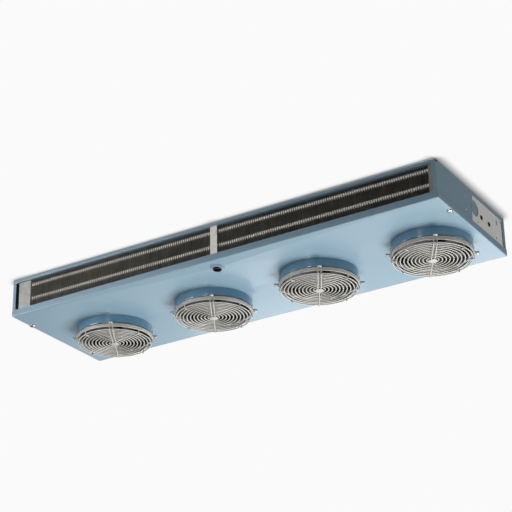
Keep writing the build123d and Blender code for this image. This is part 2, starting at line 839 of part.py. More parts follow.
with BuildPart() as impeller:
    with BuildSketch(Plane.XZ):
        with BuildLine():
            Polyline(
                (shaft_radius, hub_low + hub_shell),
                (shaft_radius, hub_low + hub_height - hub_shell),
                (2 * shaft_radius, hub_low + hub_height - hub_shell),
                (2 * shaft_radius, hub_low + 2 * hub_shell),
                (hub_radius - hub_shell, hub_low + 2 * hub_shell),
                (hub_radius - hub_shell, hub_low + hub_height),
                (hub_radius, hub_low + hub_height),
                (hub_radius, hub_low + 2 * hub_shell),
                (hub_radius - 2 * hub_shell, hub_low),
                (0, hub_low),
                (0, hub_low + hub_shell),
                close=True,
            )
        make_face()
    revolve(axis=Axis.Z)
    with PolarLocations(0, blade_count):
        add(blade.part)

shaft_low = hub_low + hub_shell
motor_top = motor_low + motor_height
with BuildPart() as fan_shaft:
    with BuildSketch(Plane.XY.offset(shaft_low)):
        Circle(shaft_radius)
    extrude(amount=motor_top - motor_shell - seat_gap - shaft_low)

# Motor: a round can with a bearing boss, built at the origin like the impeller
with BuildPart() as fan_motor:
    with BuildSketch(Plane.XY.offset(motor_low)):
        Circle(motor_radius)
    extrude(amount=motor_height)
    fillet(fan_motor.faces().sort_by(Axis.Z)[-1].edges(), motor_edge)
    with BuildSketch(Plane.XY.offset(motor_low)):
        Circle(motor_boss_radius)
    extrude(amount=-motor_boss)
    with BuildSketch(Plane.XY.offset(motor_low - motor_boss)):
        Circle(shaft_radius + shaft_fit)
    extrude(amount=motor_boss + motor_height - motor_shell, mode=Mode.SUBTRACT)

# Motor bracket: a ring plate with four arms that step down to the pan
with BuildPart() as bracket_arm_part:
    block(
        bracket_ring - bracket_arm / 2, bracket_reach, -bracket_arm / 2, bracket_arm / 2,
        motor_low - bracket_sheet, motor_low,
    )
    block(
        bracket_reach - bracket_sheet, bracket_reach, -bracket_arm / 2, bracket_arm / 2,
        pan_floor, motor_low,
    )
    block(
        bracket_reach - bracket_sheet, bracket_reach + bracket_foot, -bracket_arm / 2, bracket_arm / 2,
        pan_floor, pan_floor + bracket_sheet,
    )
    with Locations((foot_screw_circle, 0, pan_floor + bracket_sheet)):
        Hole(screw_radius, depth=bracket_sheet)
with BuildPart() as motor_bracket:
    with BuildSketch(Plane.XY.offset(motor_low)):
        Circle(bracket_ring)
        Circle(bracket_opening, mode=Mode.SUBTRACT)
    extrude(amount=-bracket_sheet)
    with PolarLocations(0, 4, start_angle=bracket_turn):
        add(bracket_arm_part.part)

with BuildPart() as stud:
    with BuildSketch(Plane.XY.offset(pan_floor)):
        Circle(screw_radius)
    extrude(amount=stud_height)
    with BuildSketch(Plane.XY.offset(pan_floor + bracket_sheet)):
        RegularPolygon(screw_head, 6)
    extrude(amount=nut_height)

# Wire guard, built at the origin: rings, spokes, ribs and four eyes
face_low = pan_under - guard_depth
rings_top = face_low + ring_wire
eye_top = collar_low - eye_clearance
rib_out = side_ring_radius - rib_inset
spoke_low = rings_top - weld
with BuildPart() as fan_guard:
    for n in range(guard_rings):
        ring = guard_radius - n * guard_pitch
        sides = ring_sides if n < 5 else ring_sides // 2
        with BuildSketch(Plane.XY.offset(face_low)):
            RegularPolygon(ring, sides)
            RegularPolygon(ring - ring_wire, sides, mode=Mode.SUBTRACT)
        extrude(amount=ring_wire)
    for n in range(side_rings):
        ring = side_ring_radius - n * side_taper
        with BuildSketch(Plane.XY.offset(collar_low - side_ring_top - n * side_ring_pitch)):
            RegularPolygon(ring, ring_sides)
            RegularPolygon(ring - ring_wire, ring_sides, mode=Mode.SUBTRACT)
        extrude(amount=-ring_wire)
    with BuildSketch(Plane.XY.offset(spoke_low + weld)):
        RegularPolygon(hub_plate, ring_sides)
    extrude(amount=-ring_wire)
    spokes = [(-90, -spoke_pair / 2), (-90, spoke_pair / 2), (90, 0)]
    ribs = spokes + [(angle, 0) for angle in (0, 180, 45, 135, 225, 315)]
    for angle, aside in ribs:
        inner_end = 0 if (angle, aside) in spokes else guard_radius - guard_pitch
        with Locations(Location((0, 0, 0), (0, 0, angle + guard_turn))):
            with Locations(((inner_end + rib_out) / 2, aside, spoke_low + spoke_wire / 2)):
                Box(rib_out - inner_end, spoke_wire, spoke_wire)
            with Locations((rib_out - ring_wire / 2, aside, (eye_top + spoke_low) / 2)):
                Box(ring_wire, spoke_wire, eye_top - spoke_low)
    with BuildSketch(Plane.XY.offset(eye_top)):
        with PolarLocations(0, 4, start_angle=guard_turn):
            with Locations(((rib_out + eye_circle) / 2, 0)):
                Rectangle(eye_circle - rib_out, 2 * eye_radius - 2)
            with Locations((eye_circle, 0)):
                Circle(eye_radius)
    extrude(amount=-ring_wire)
    with BuildSketch(Plane.XY.offset(eye_top)):
        with PolarLocations(eye_circle, 4, start_angle=guard_turn):
            Circle(eye_hole)
    extrude(amount=-ring_wire, mode=Mode.SUBTRACT)

# Clip: a lug on the collar that a guard eye is screwed to
with BuildPart() as clip:
    with BuildSketch(Plane.XY.offset(eye_top)):
        Circle(collar_radius + sheet)
        Circle(collar_radius, mode=Mode.SUBTRACT)
        with Locations((collar_radius, 0)):
            Rectangle(clip_width, clip_width, mode=Mode.INTERSECT)
    extrude(amount=clip_leg)
    with BuildSketch(Plane.XY.offset(eye_top)):
        with Locations(((collar_radius + eye_circle + eye_radius) / 2, 0)):
            Rectangle(eye_circle + eye_radius - collar_radius, clip_width)
        Circle(collar_radius, mode=Mode.SUBTRACT)
        with Locations((eye_circle, 0)):
            Circle(screw_radius, mode=Mode.SUBTRACT)
    extrude(amount=sheet)

with BuildPart() as guard_screw:
    for z, radius, length in (
        (eye_top - ring_wire - screw_dome, screw_head, screw_dome),
        (eye_top - ring_wire, screw_radius, ring_wire + sheet + screw_end),
    ):
        with BuildSketch(Plane.XY.offset(z)):
            Circle(radius)
        extrude(amount=length)
    fillet(guard_screw.edges().sort_by(Axis.Z)[0], screw_dome / 2)

# One set of fan pieces at each collar; the fixings of all four sets are grouped
sets = {"fan_collar": fan_collar, "impeller": impeller, "fan_shaft": fan_shaft, "fan_motor": fan_motor}
sets.update({"motor_bracket": motor_bracket, "fan_guard": fan_guard})
for name, master in sets.items():
    for n, x in enumerate(fan_xs):
        save(master.part.moved(Location((x, fan_y, 0))), f"{name}_{n + 1}")

for name, master, circle, turn in (
    ("guard_clips", clip, 0, guard_turn),
    ("guard_screws", guard_screw, eye_circle, guard_turn),
    ("bracket_screws", stud, foot_screw_circle, bracket_turn),
):
    with BuildPart() as group:
        for x in fan_xs:
            with Locations((x, fan_y)):
                with PolarLocations(circle, 4, start_angle=turn):
                    add(master.part)
    save(group.part, name)
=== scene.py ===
# %% [markdown]
# # A ceiling unit cooler, dressed around its solid parts
#
# The cooler hangs flat under the ceiling of a walk-in cold room. Four fans in the bottom pan draw
# the room's air up into the casing, and the air leaves through the finned coil along the front.
# The solid parts are already made and packed. This lesson loads them as a fixed frame and gives
# each one a finish, and it rebuilds the few whose real form is finer than a solid model needs:
# the wire guards, the fan blades and the finned coil.

# %% Load the solid parts
import json
import math

import bmesh
import bpy
from mathutils import Matrix, Vector


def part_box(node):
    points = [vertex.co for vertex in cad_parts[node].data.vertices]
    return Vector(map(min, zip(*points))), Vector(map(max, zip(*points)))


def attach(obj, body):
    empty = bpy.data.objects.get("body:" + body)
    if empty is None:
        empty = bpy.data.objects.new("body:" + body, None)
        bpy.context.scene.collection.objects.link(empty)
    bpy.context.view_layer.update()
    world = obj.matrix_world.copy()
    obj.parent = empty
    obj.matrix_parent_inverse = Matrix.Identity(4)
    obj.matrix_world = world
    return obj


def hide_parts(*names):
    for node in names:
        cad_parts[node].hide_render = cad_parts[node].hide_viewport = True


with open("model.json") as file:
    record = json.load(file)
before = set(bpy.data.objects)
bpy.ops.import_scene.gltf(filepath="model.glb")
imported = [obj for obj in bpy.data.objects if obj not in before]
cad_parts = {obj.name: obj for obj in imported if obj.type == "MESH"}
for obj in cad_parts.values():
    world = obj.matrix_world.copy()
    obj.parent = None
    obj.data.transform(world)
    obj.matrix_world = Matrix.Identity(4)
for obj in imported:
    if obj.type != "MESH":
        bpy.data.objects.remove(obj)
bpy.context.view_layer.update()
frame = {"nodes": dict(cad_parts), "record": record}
solids = frame["nodes"]
mm = 0.001
UP = Vector((0, 0, 1))

# %% [markdown]
# ## Materials
#
# Every finish on the cooler is made of nodes, with no pictures. Most of them need the same few
# effects: cloudy changes of tint, the crystals of a zinc coat, the streaks that rolling leaves in
# sheet metal, and dust. Each effect is built once as a node group with named inputs, and each
# material uses it with its own values. The shader itself stays in the material.

# %% A helper that lays out a node group
def effect(name, inputs, outputs):
    """An empty node group with its sockets made, and its two end nodes."""
    group = bpy.data.node_groups.new(name, "ShaderNodeTree")
    for label, kind, value in inputs:
        socket = group.interface.new_socket(label, in_out="INPUT", socket_type=kind)
        if value is not None:
            socket.default_value = value
    for label, kind in outputs:
        group.interface.new_socket(label, in_out="OUTPUT", socket_type=kind)
    start = group.nodes.new("NodeGroupInput")
    end = group.nodes.new("NodeGroupOutput")
    return group, start, end


def add_node(tree, kind, settings=None, **values):
    """A node with its settings and its unlinked inputs filled in."""
    node = tree.nodes.new(kind)
    for key, value in (settings or {}).items():
        setattr(node, key, value)
    for key, value in values.items():
        node.inputs[key.replace("_", " ")].default_value = value
    return node


# %% [markdown]
# ### Cloudy tint
#
# Paint, zinc and rubber are never one even colour. A soft noise pattern, stretched to the range
# from 0 to 1, serves as a mask that fades one colour into another or changes the gloss.

# %% Cloudy tint group
FLOAT, VECTOR = "NodeSocketFloat", "NodeSocketVector"


def make_cloudy_tint():
    """Soft clouds as a mask from 0 to 1."""
    group, start, end = effect(
        "Cloudy tint",
        [("Place", VECTOR, None), ("Scale", FLOAT, 6.0), ("Detail", FLOAT, 4.0), ("Contrast", FLOAT, 2.0)],
        [("Mask", FLOAT)],
    )
    link = group.links.new
    noise = add_node(group, "ShaderNodeTexNoise", Roughness=0.55)
    link(start.outputs["Place"], noise.inputs["Vector"])
    link(start.outputs["Scale"], noise.inputs["Scale"])
    link(start.outputs["Detail"], noise.inputs["Detail"])
    centre = add_node(group, "ShaderNodeMath", {"operation": "SUBTRACT"})
    centre.inputs[1].default_value = 0.5
    stretch = add_node(group, "ShaderNodeMath", {"operation": "MULTIPLY"})
    lift = add_node(group, "ShaderNodeMath", {"operation": "ADD", "use_clamp": True})
    lift.inputs[1].default_value = 0.5
    link(noise.outputs["Fac"], centre.inputs[0])
    link(centre.outputs[0], stretch.inputs[0])
    link(start.outputs["Contrast"], stretch.inputs[1])
    link(stretch.outputs[0], lift.inputs[0])
    link(lift.outputs[0], end.inputs["Mask"])
    return group


cloudy_tint = make_cloudy_tint()
print("group:", cloudy_tint.name)

# %% [markdown]
# ### Zinc spangle
#
# A hot-dip zinc coat freezes into flat crystals, and each one reflects a little differently. The
# cells of a Voronoi pattern stand for the crystals: one random number per cell sets its tone.

# %% Zinc spangle group
def make_zinc_spangle():
    """One random tone for each crystal."""
    group, start, end = effect(
        "Zinc spangle", [("Place", VECTOR, None), ("Crystals per metre", FLOAT, 120.0)], [("Tone", FLOAT)]
    )
    link = group.links.new
    cells = add_node(group, "ShaderNodeTexVoronoi", {"feature": "F1"}, Randomness=1.0)
    link(start.outputs["Place"], cells.inputs["Vector"])
    link(start.outputs["Crystals per metre"], cells.inputs["Scale"])
    split = add_node(group, "ShaderNodeSeparateColor")
    link(cells.outputs["Color"], split.inputs[0])
    link(split.outputs[0], end.inputs["Tone"])
    return group


zinc_spangle = make_zinc_spangle()
print("group:", zinc_spangle.name)

# %% [markdown]
# ### Rolling streaks
#
# Rolled or drawn metal carries fine lines along one direction. Noise that is squeezed across the
# lines and drawn out along them gives such streaks, with the direction set by a stretch vector.

# %% Rolling streaks group
def make_rolling_streaks():
    """Noise that is drawn out along one direction."""
    group, start, end = effect(
        "Rolling streaks",
        [("Place", VECTOR, None), ("Stretch", VECTOR, (1.0, 1.0, 1.0)), ("Scale", FLOAT, 60.0)],
        [("Mask", FLOAT)],
    )
    link = group.links.new
    squeeze = add_node(group, "ShaderNodeVectorMath", {"operation": "MULTIPLY"})
    link(start.outputs["Place"], squeeze.inputs[0])
    link(start.outputs["Stretch"], squeeze.inputs[1])
    noise = add_node(group, "ShaderNodeTexNoise", Detail=3.0, Roughness=0.6)
    link(squeeze.outputs[0], noise.inputs["Vector"])
    link(start.outputs["Scale"], noise.inputs["Scale"])
    link(noise.outputs["Fac"], end.inputs["Mask"])
    return group


rolling_streaks = make_rolling_streaks()
print("group:", rolling_streaks.name)

# %% [markdown]
# ### One recipe for a finish
#
# A finish starts from two close colours that a cloudy mask fades between. The same mask moves the
# gloss a little, and a fine bump keeps the highlights from looking computer-flat. The recipe below
# takes the colours and amounts, so that each real finish needs only a few lines of its own.

# %% Build a finish
def use_group(tree, group, **values):
    """A node group placed in a material with its values filled in."""
    node = tree.nodes.new("ShaderNodeGroup")
    node.node_tree = group
    for key, value in values.items():
        node.inputs[key.replace("_", " ")].default_value = value
    return node


GRAIN_DEPTH = 0.4 * mm
GRAIN_CONTRAST = 1.5


def finish(
    name, light, dark, gloss, metal=0.0, cloud=6.0, contrast=2.0, bump=0.0, grain=900.0, **shader_values
):
    """A material that fades between two colours and two values of roughness."""
    material = bpy.data.materials.new(name)
    material.use_nodes = True
    tree = material.node_tree
    shader = tree.nodes["Principled BSDF"]
    place = tree.nodes.new("ShaderNodeTexCoord")
    mask = use_group(tree, cloudy_tint, Scale=cloud, Contrast=contrast)
    colour = add_node(tree, "ShaderNodeMix", {"data_type": "RGBA"})
    colour.inputs["A"].default_value = (*light, 1.0)
    colour.inputs["B"].default_value = (*dark, 1.0)
    shine = add_node(tree, "ShaderNodeMapRange", To_Min=gloss[0], To_Max=gloss[1])
    link = tree.links.new
    link(place.outputs["Object"], mask.inputs["Place"])
    link(mask.outputs["Mask"], colour.inputs["Factor"])
    link(mask.outputs["Mask"], shine.inputs["Value"])
    link(colour.outputs["Result"], shader.inputs["Base Color"])
    link(shine.outputs["Result"], shader.inputs["Roughness"])
    shader.inputs["Metallic"].default_value = metal
    for key, value in shader_values.items():
        shader.inputs[key.replace("_", " ")].default_value = value
    if bump:
        fine = use_group(tree, cloudy_tint, Scale=grain, Contrast=GRAIN_CONTRAST)
        relief = add_node(tree, "ShaderNodeBump", Strength=bump, Distance=GRAIN_DEPTH)
        link(place.outputs["Object"], fine.inputs["Place"])
        link(fine.outputs["Mask"], relief.inputs["Height"])
        link(relief.outputs["Normal"], shader.inputs["Normal"])
    return material


def tone_colour(material, group, amount, output, **values):
    """Darkens a material's colour where a group's output is low."""
    tree = material.node_tree
    shader = tree.nodes["Principled BSDF"]
    place = next(node for node in tree.nodes if node.type == "TEX_COORD")
    source = shader.inputs["Base Color"].links[0].from_socket
    pattern = use_group(tree, group, **values)
    shade = add_node(tree, "ShaderNodeMapRange", To_Min=1.0 - amount, To_Max=1.0 + amount)
    scaled = add_node(tree, "ShaderNodeVectorMath", {"operation": "SCALE"})
    link = tree.links.new
    link(place.outputs["Object"], pattern.inputs["Place"])
    link(pattern.outputs[output], shade.inputs["Value"])
    link(source, scaled.inputs[0])
    link(shade.outputs["Result"], scaled.inputs["Scale"])
    link(scaled.outputs[0], shader.inputs["Base Color"])
    return material


# %% [markdown]
# ### The finishes
#
# The casing and the pan wear a light blue stoved enamel: smooth and fairly glossy, with the faint
# orange peel that sprayed paint has. Frames inside are galvanised sheet. The fins are thin
# aluminium, and their colour is darkened almost to black as painted shade, for the little light
# that gets in between them.

# %% Sheet metal finishes
blue_enamel = finish(
    "blue_enamel", (0.200, 0.300, 0.370), (0.180, 0.280, 0.350), (0.34, 0.40), cloud=4.0,
    bump=0.02, Coat_Weight=0.25, Coat_Roughness=0.15,
)
# A darker copy of the pan's blue enamel: painted shade on the collar walls and on the guard clips.
shaded_collar_enamel = finish(
    "shaded_collar_enamel", (0.105, 0.225, 0.320), (0.090, 0.205, 0.300), (0.16, 0.22), cloud=5.0,
    Coat_Weight=0.6, Coat_Roughness=0.06,
)
galvanised = finish(
    "galvanised", (0.36, 0.36, 0.34), (0.30, 0.30, 0.285), (0.35, 0.5), metal=0.6, cloud=9.0
)
tone_colour(galvanised, zinc_spangle, 0.12, "Tone", Crystals_per_metre=150.0)
# A much lighter copy of the galvanised finish for the centre tube sheet: painted light on the post at the
# front.
lit_post_zinc = finish(
    "lit_post_zinc", (0.78, 0.76, 0.71), (0.73, 0.71, 0.66), (0.4, 0.52), metal=0.15, cloud=9.0
)
tone_colour(lit_post_zinc, zinc_spangle, 0.06, "Tone", Crystals_per_metre=150.0)
blank_plate = finish(
    "blank_plate", (0.80, 0.79, 0.76), (0.70, 0.69, 0.665), (0.35, 0.45), metal=0.15, cloud=8.0
)
tone_colour(blank_plate, rolling_streaks, 0.12, "Mask", Stretch=(1.0, 0.05, 1.0), Scale=260.0)

# %% [markdown]
# The coil's fins are dull aluminium with streaks from the rolling mill, their colour darkened as
# painted shade. The collars that they are drawn into are the same aluminium made near-white as a
# painted highlight, and the pipes behind them are copper with a brass distributor.

# %% Coil finishes
# The fins' colour is darkened as painted shade between the fins.
fin_aluminium_painted_shade = finish(
    "fin_aluminium_painted_shade", (0.36, 0.34, 0.31), (0.22, 0.21, 0.19), (0.4, 0.55), metal=0.25, cloud=14.0
)
tone_colour(fin_aluminium_painted_shade, rolling_streaks, 0.5, "Mask", Stretch=(1.0, 0.3, 0.04), Scale=240.0)
# The collars' near-white colour is a painted highlight, far lighter than the fins of the same aluminium.
collar_aluminium_painted_highlight = finish(
    "collar_aluminium_painted_highlight", (0.95, 0.93, 0.89), (0.85, 0.83, 0.79), (0.25, 0.35), metal=0.15, cloud=60.0
)
copper = finish("copper", (0.72, 0.38, 0.24), (0.50, 0.24, 0.15), (0.28, 0.45), metal=1.0, cloud=18.0)
brass = finish("brass", (0.72, 0.55, 0.27), (0.55, 0.40, 0.18), (0.3, 0.42), metal=1.0, cloud=30.0)

# %% [markdown]
# The guards are wire with a soft grey coat, and their hub plates are a little darker. Blades and
# motors are black, screws and shafts are bright plated steel, and the seals are rubber.

# %% Fan and small-part finishes
guard_wire = finish(
    "guard_wire", (0.50, 0.49, 0.455), (0.44, 0.43, 0.395), (0.38, 0.48), metal=0.2, cloud=20.0
)
hub_plate_metal = finish(
    "hub_plate_metal", (0.44, 0.43, 0.40), (0.39, 0.38, 0.35), (0.4, 0.5), metal=0.2, cloud=30.0
)
blade_paint = finish(
    "blade_paint", (0.035, 0.035, 0.037), (0.02, 0.02, 0.021), (0.4, 0.52), cloud=12.0, bump=0.08
)
motor_paint = finish(
    "motor_paint", (0.03, 0.03, 0.032), (0.018, 0.018, 0.019), (0.45, 0.6), cloud=20.0, bump=0.1
)
plated_steel = finish(
    "plated_steel", (0.60, 0.58, 0.52), (0.42, 0.40, 0.35), (0.2, 0.32), metal=1.0, cloud=90.0
)
# Bare throat metal, darkened as painted shade inside the collars.
throat_metal_and_shade = finish(
    "throat_metal_and_shade", (0.20, 0.18, 0.155), (0.12, 0.11, 0.10), (0.3, 0.42), metal=0.9, cloud=16.0
)
tone_colour(throat_metal_and_shade, rolling_streaks, 0.2, "Mask", Stretch=(0.3, 0.3, 1.0), Scale=300.0)
grommet_rubber = finish(
    "grommet_rubber", (0.022, 0.022, 0.022), (0.014, 0.014, 0.014), (0.6, 0.75), cloud=70.0
)
ferrule_plastic = finish(
    "ferrule_plastic", (0.012, 0.012, 0.012), (0.008, 0.008, 0.008), (0.45, 0.55), cloud=70.0
)
print(len(bpy.data.materials), "materials")

# %% [markdown]
# ## Dressing a solid
#
# The sheet-metal parts already have the right form. What a photograph adds is the way light runs
# along their folds, so each one is copied, its flat areas are cleaned into single faces, and its
# sharp edges get a narrow bevel. The copy then stands for the solid and moves with its body.

# %% Copy a solid and ease its edges
SAME_POINT = 2e-6
FLAT_WITHIN = math.radians(0.5)
FLAT_WEIGHT = 90
SMOOTH_BELOW = 50
body_of = {node: body for body, nodes in frame["record"]["behaviour"]["bodies"].items() for node in nodes}


def shade_by_angle(mesh, degrees):
    """Smooth shading that keeps the edges sharper than an angle."""
    shaped = bmesh.new()
    shaped.from_mesh(mesh)
    for face in shaped.faces:
        face.smooth = True
    for edge in shaped.edges:
        edge.smooth = len(edge.link_faces) == 2 and edge.calc_face_angle() < math.radians(degrees)
    shaped.to_mesh(mesh)
    shaped.free()


def settle(piece, node):
    """Puts a finished piece on its body, in the place of the solid that it stands for."""
    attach(piece, body_of[node])
    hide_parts(node)
    return piece


def dress(node, material, bevel=0.4 * mm, smooth_below=SMOOTH_BELOW, reshape=None):
    """A clean copy of a solid with its edges eased and a finish on it; reshape may alter the copy."""
    mesh = solids[node].data.copy()
    mesh.name = node + "_skin"
    cleaned = bmesh.new()
    cleaned.from_mesh(mesh)
    bmesh.ops.remove_doubles(cleaned, verts=cleaned.verts, dist=SAME_POINT)
    bmesh.ops.dissolve_limit(cleaned, angle_limit=FLAT_WITHIN, verts=cleaned.verts, edges=cleaned.edges)
    creases = reshape(cleaned) if reshape else []
    sharp = [edge.index for edge in creases]
    cleaned.to_mesh(mesh)
    cleaned.free()
    mesh.materials.clear()
    mesh.materials.append(material)
    shade_by_angle(mesh, smooth_below)
    for index in sharp:
        mesh.edges[index].use_edge_sharp = True
    piece = bpy.data.objects.new(node + "_skin", mesh)
    bpy.context.scene.collection.objects.link(piece)
    if bevel:
        eased = piece.modifiers.new("eased edges", "BEVEL")
        eased.width = bevel
        eased.segments = 2
        eased.limit_method = "ANGLE"
        eased.angle_limit = math.radians(smooth_below)
    flat = piece.modifiers.new("flat faces stay flat", "WEIGHTED_NORMAL")
    flat.keep_sharp = True
    flat.weight = FLAT_WEIGHT
    return settle(piece, node)


# %% [markdown]
# ### The collars and their throats
#
# The collars are painted the pan's blue outside, but in a darker copy of it that is painted shade on
# the collar walls. Their curled throat is left as bare spun metal, whose dark brownish colour is
# partly painted shade inside the collar. The two finishes meet at the curl's outer edge: every
# face that lies further in than the outer wall gets the bare one.

# %% Give a collar its two finishes
FANS = range(1, 5)
WALL_HEIGHT = 12 * mm
WALL_SHEET = 0.8 * mm


def fan_centre(n):
    """The point of a fan's axis at the height of the ceiling."""
    low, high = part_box(f"fan_guard_{n}")
    return Vector(((low.x + high.x) / 2, (low.y + high.y) / 2, 0))


def dress_collar(n):
    """A collar with darker paint outside and darkened bare metal in its throat, both partly painted shade."""
    piece = dress(f"fan_collar_{n}", shaded_collar_enamel, 0, smooth_below=40)
    piece.data.materials.append(throat_metal_and_shade)
    centre = fan_centre(n)
    wall_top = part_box(f"fan_collar_{n}")[0].z + WALL_HEIGHT
    wall = max((vert.co - centre).to_2d().length for vert in piece.data.vertices if vert.co.z < wall_top)
    for face in piece.data.polygons:
        if (face.center - centre).to_2d().length < wall - WALL_SHEET:
            face.material_index = 1


# %% [markdown]
# ## The cross-broken pan
#
# A drip pan isn't quite flat. Its floor is creased from the drain to the two front corners and to
# the middle of each end, so that water runs to the drain. The creases show as faint changes of
# tone, so the copy of the pan is cut along them and its floor is pressed down by a few
# millimetres at the drain, fading to nothing at the edges.

# %% Crease the pan
pan_low, pan_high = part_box("fan_pan")
drain_low, drain_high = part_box("drain_ferrule")
drain = Vector(((drain_low.x + drain_high.x) / 2, (drain_low.y + drain_high.y) / 2, 0))
PAN_FALL = 4.5 * mm
FLOOR_REACH = 12 * mm
END_MIDDLE = 0.0
ON_THE_CUT = 1e-6
SHORTEST_CREASE = 8 * mm
FAINTEST_CREASE, STEEPEST_CREASE = math.radians(0.2), math.radians(9)


def pan_fall(point):
    """How far the pan's floor lies below its edges at a point."""
    inward = (
        (point.x - pan_low.x) / (drain.x - pan_low.x),
        (pan_high.x - point.x) / (pan_high.x - drain.x),
        (point.y - pan_low.y) / (drain.y - pan_low.y),
        (END_MIDDLE - point.y) / (END_MIDDLE - drain.y),
    )
    return PAN_FALL * max(0.0, min(1.0, *inward))


def crease_pan(shaped):
    """Cuts the pan along its creases, presses its floor down and returns the creases' edges."""
    ends = [Vector((x, y, 0)) for x in (pan_low.x, pan_high.x) for y in (pan_low.y, END_MIDDLE)]
    lines = [(drain, end - drain) for end in ends] + [(Vector((0, END_MIDDLE, 0)), Vector((1, 0, 0)))]
    for point, along in lines:
        across = along.cross(UP).normalized()
        everything = shaped.verts[:] + shaped.edges[:] + shaped.faces[:]
        bmesh.ops.bisect_plane(shaped, geom=everything, dist=ON_THE_CUT, plane_co=point, plane_no=across)
    for vert in shaped.verts:
        if vert.co.z < pan_low.z + FLOOR_REACH:
            vert.co.z -= pan_fall(vert.co)
    shaped.edges.index_update()
    shaped.normal_update()
    folds = [edge for edge in shaped.edges if len(edge.link_faces) == 2]
    return [
        edge
        for edge in folds
        if FAINTEST_CREASE < edge.calc_face_angle() < STEEPEST_CREASE and edge.calc_length() > SHORTEST_CREASE
    ]


dress("fan_pan", blue_enamel, reshape=crease_pan)
print("pan falls", round(pan_fall(drain) / mm, 1), "mm to the drain")

# %% [markdown]
# ## The other solids
#
# Everything else is dressed as it is, so a table gives each solid its finish and the width in
# millimetres by which its edges are eased. Bent pipe has no edges to ease. The drain's ferrule
# only moves down with the floor of the pan.

# %% Dress the sheet metal, the pipes and the small parts
def lower_to_pan(shaped):
    """Moves a fitting of the pan down with the pan's floor."""
    for vert in shaped.verts:
        vert.co.z -= pan_fall(drain)
    return []


for node, material, ease in (
    ("top_panel", blue_enamel, 0.4),
    ("left_end_panel", blue_enamel, 0.4),
    ("right_end_panel", blue_enamel, 0.4),
    ("rear_panel", blue_enamel, 0.4),
    ("left_tube_sheet", galvanised, 0.3),
    ("centre_tube_sheet", lit_post_zinc, 0.3),
    ("right_tube_sheet", galvanised, 0.3),
    ("coil_tubes", copper, 0),
    ("return_bends", copper, 0),
    ("feeder_tubes", copper, 0),
    ("distributor", brass, 0.3),
    ("liquid_line", copper, 0),
    ("suction_header", copper, 0.5),
    ("suction_line", copper, 0),
    ("pipe_grommets", grommet_rubber, 0.5),
    ("hinge_leaves_casing", galvanised, 0.2),
    ("hinge_leaves_pan", galvanised, 0.2),
    ("hinge_pins", plated_steel, 0.3),
    ("terminal_box", galvanised, 0.3),
    ("terminal_cover", galvanised, 0.4),
    ("service_plate", blank_plate, 0.2),
    ("plate_screws", plated_steel, 0.3),
    ("cable_grommets", grommet_rubber, 0.4),
    ("pan_fasteners", plated_steel, 0.3),
    ("guard_clips", shaded_collar_enamel, 0.2),
    ("guard_screws", plated_steel, 0.3),
    ("bracket_screws", plated_steel, 0.2),
):
    dress(node, material, ease * mm)
dress("drain_ferrule", ferrule_plastic, reshape=lower_to_pan)
for n in FANS:
    dress_collar(n)
    dress(f"fan_motor_{n}", motor_paint, 0.6 * mm)
    dress(f"motor_bracket_{n}", galvanised, 0.3 * mm)
    dress(f"fan_shaft_{n}", plated_steel, 0.3 * mm)

# %% [markdown]
# ## Wire guards
#
# Each guard is a basket of round wire: flat rings across the face, three more rings round the
# side, and straight wires that carry them. The thin solid rods of the frame mark the places. Here
# the wires are made round, by sweeping a small circle along each ring and rod.

# %% Sweep a round wire along a line of points
NEARLY_UPRIGHT = 0.2


def bridge(shaped, a, b):
    """Faces between two rings that have the same number of points."""
    for s in range(len(a)):
        after = (s + 1) % len(a)
        shaped.faces.new((a[s], a[after], b[after], b[s]))


def wire(shaped, points, radius, closed=False, sides=8):
    """Adds a round wire along the points to a bmesh."""
    count = len(points)
    rings = []
    for n, point in enumerate(points):
        before = points[(n - 1) % count] if closed or n > 0 else points[0]
        after = points[(n + 1) % count] if closed or n < count - 1 else points[-1]
        along = (after - before).normalized()
        side = along.cross(UP)
        if side.length < NEARLY_UPRIGHT:
            side = along.cross(Vector((1, 0, 0)))
        side.normalize()
        up = side.cross(along)
        ring = []
        for s in range(sides):
            turn = 2 * math.pi * s / sides
            ring.append(shaped.verts.new(point + radius * (math.cos(turn) * side + math.sin(turn) * up)))
        rings.append(ring)
    for a, b in zip(rings, rings[1:]):
        bridge(shaped, a, b)
    if closed:
        bridge(shaped, rings[-1], rings[0])
    else:
        shaped.faces.new(list(reversed(rings[0])))
        shaped.faces.new(rings[-1])


def circle_points(radius, height, count):
    """Points round a circle at a height."""
    turns = [2 * math.pi * n / count for n in range(count)]
    return [Vector((radius * math.cos(turn), radius * math.sin(turn), height)) for turn in turns]


def mesh_piece(name, shaped, material, place=(0, 0, 0)):
    """An object from a bmesh, shaded smooth except at its sharp edges."""
    bmesh.ops.recalc_face_normals(shaped, faces=shaped.faces)
    mesh = bpy.data.meshes.new(name)
    shaped.to_mesh(mesh)
    shaped.free()
    mesh.materials.append(material)
    shade_by_angle(mesh, SMOOTH_BELOW)
    piece = bpy.data.objects.new(name, mesh)
    piece.location = place
    bpy.context.scene.collection.objects.link(piece)
    return piece


# %% [markdown]
# The four fans are alike, so a guard or an impeller is made once about the origin, and the other
# three share its mesh. The centres come from the boxes of the solid guards.

# %% Measure the fans and repeat a piece at each
fan_centres = {n: fan_centre(n) for n in FANS}
guard_low, guard_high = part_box("fan_guard_1")


def repeat_at_fans(first, name, node):
    """Settles the piece of the first fan and puts the same mesh at the other three."""
    settle(first, f"{node}_1")
    for n in FANS[1:]:
        twin = bpy.data.objects.new(f"{name}_{n}", first.data)
        twin.location = fan_centres[n]
        bpy.context.scene.collection.objects.link(twin)
        settle(twin, f"{node}_{n}")


print("fan centres", [tuple(round(v, 4) for v in centre) for centre in fan_centres.values()])

# %% [markdown]
# The rings of the face sit 10.4 mm apart. A pair of wires runs from the hub plate across the
# rings, up the side and round the screw of the nearest eye in one hairpin, and a single wire
# carries the rings on the other side of the hub. The two eyes between them are shorter hairpins,
# and four plain ribs hold the rings in the gaps.

